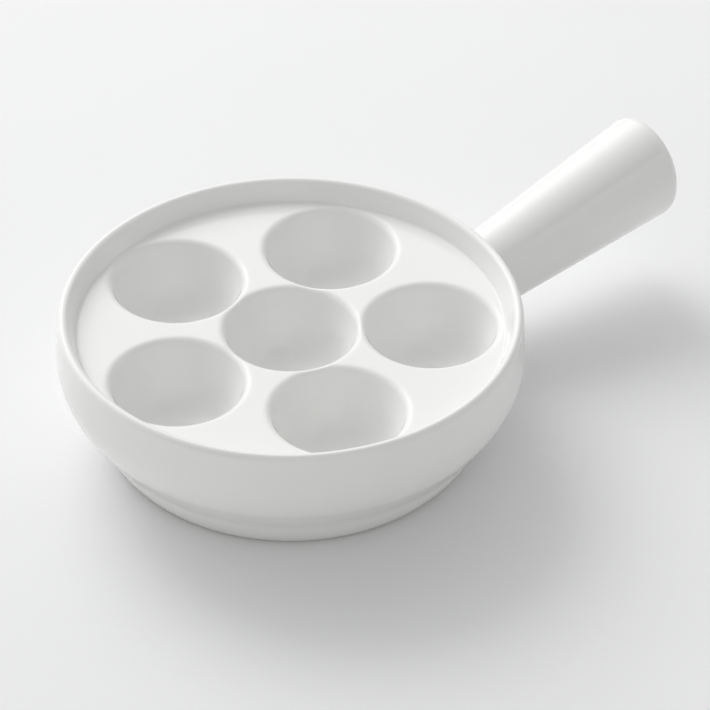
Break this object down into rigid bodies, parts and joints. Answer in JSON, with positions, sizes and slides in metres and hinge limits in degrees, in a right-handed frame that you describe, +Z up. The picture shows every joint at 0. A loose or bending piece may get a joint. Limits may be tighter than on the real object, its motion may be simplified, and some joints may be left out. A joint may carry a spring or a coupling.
{
  "type": "escargot dish",
  "caption": "White glazed porcelain escargot dish with round wells in a sunk tray and a straight hollow handle.",
  "frame": {"origin": "on the bowl's axis at table level, in the middle of the foot ring's ground face", "axes": "+Z up along the bowl's axis, +X from the bowl along the handle, +Y to the left of the handle"},
  "size_m": [0.2108, 0.14, 0.0517],
  "materials": {
    "glaze": "gloss",
    "biscuit": "matte"
  },
  "bodies": {
    "root": {"bowl_wall": "glaze", "foot_ring": "biscuit", "well_tray": "glaze", "tray_seam": "glaze", "handle": "glaze", "handle_seam": "glaze"}
  },
  "joints": []
}
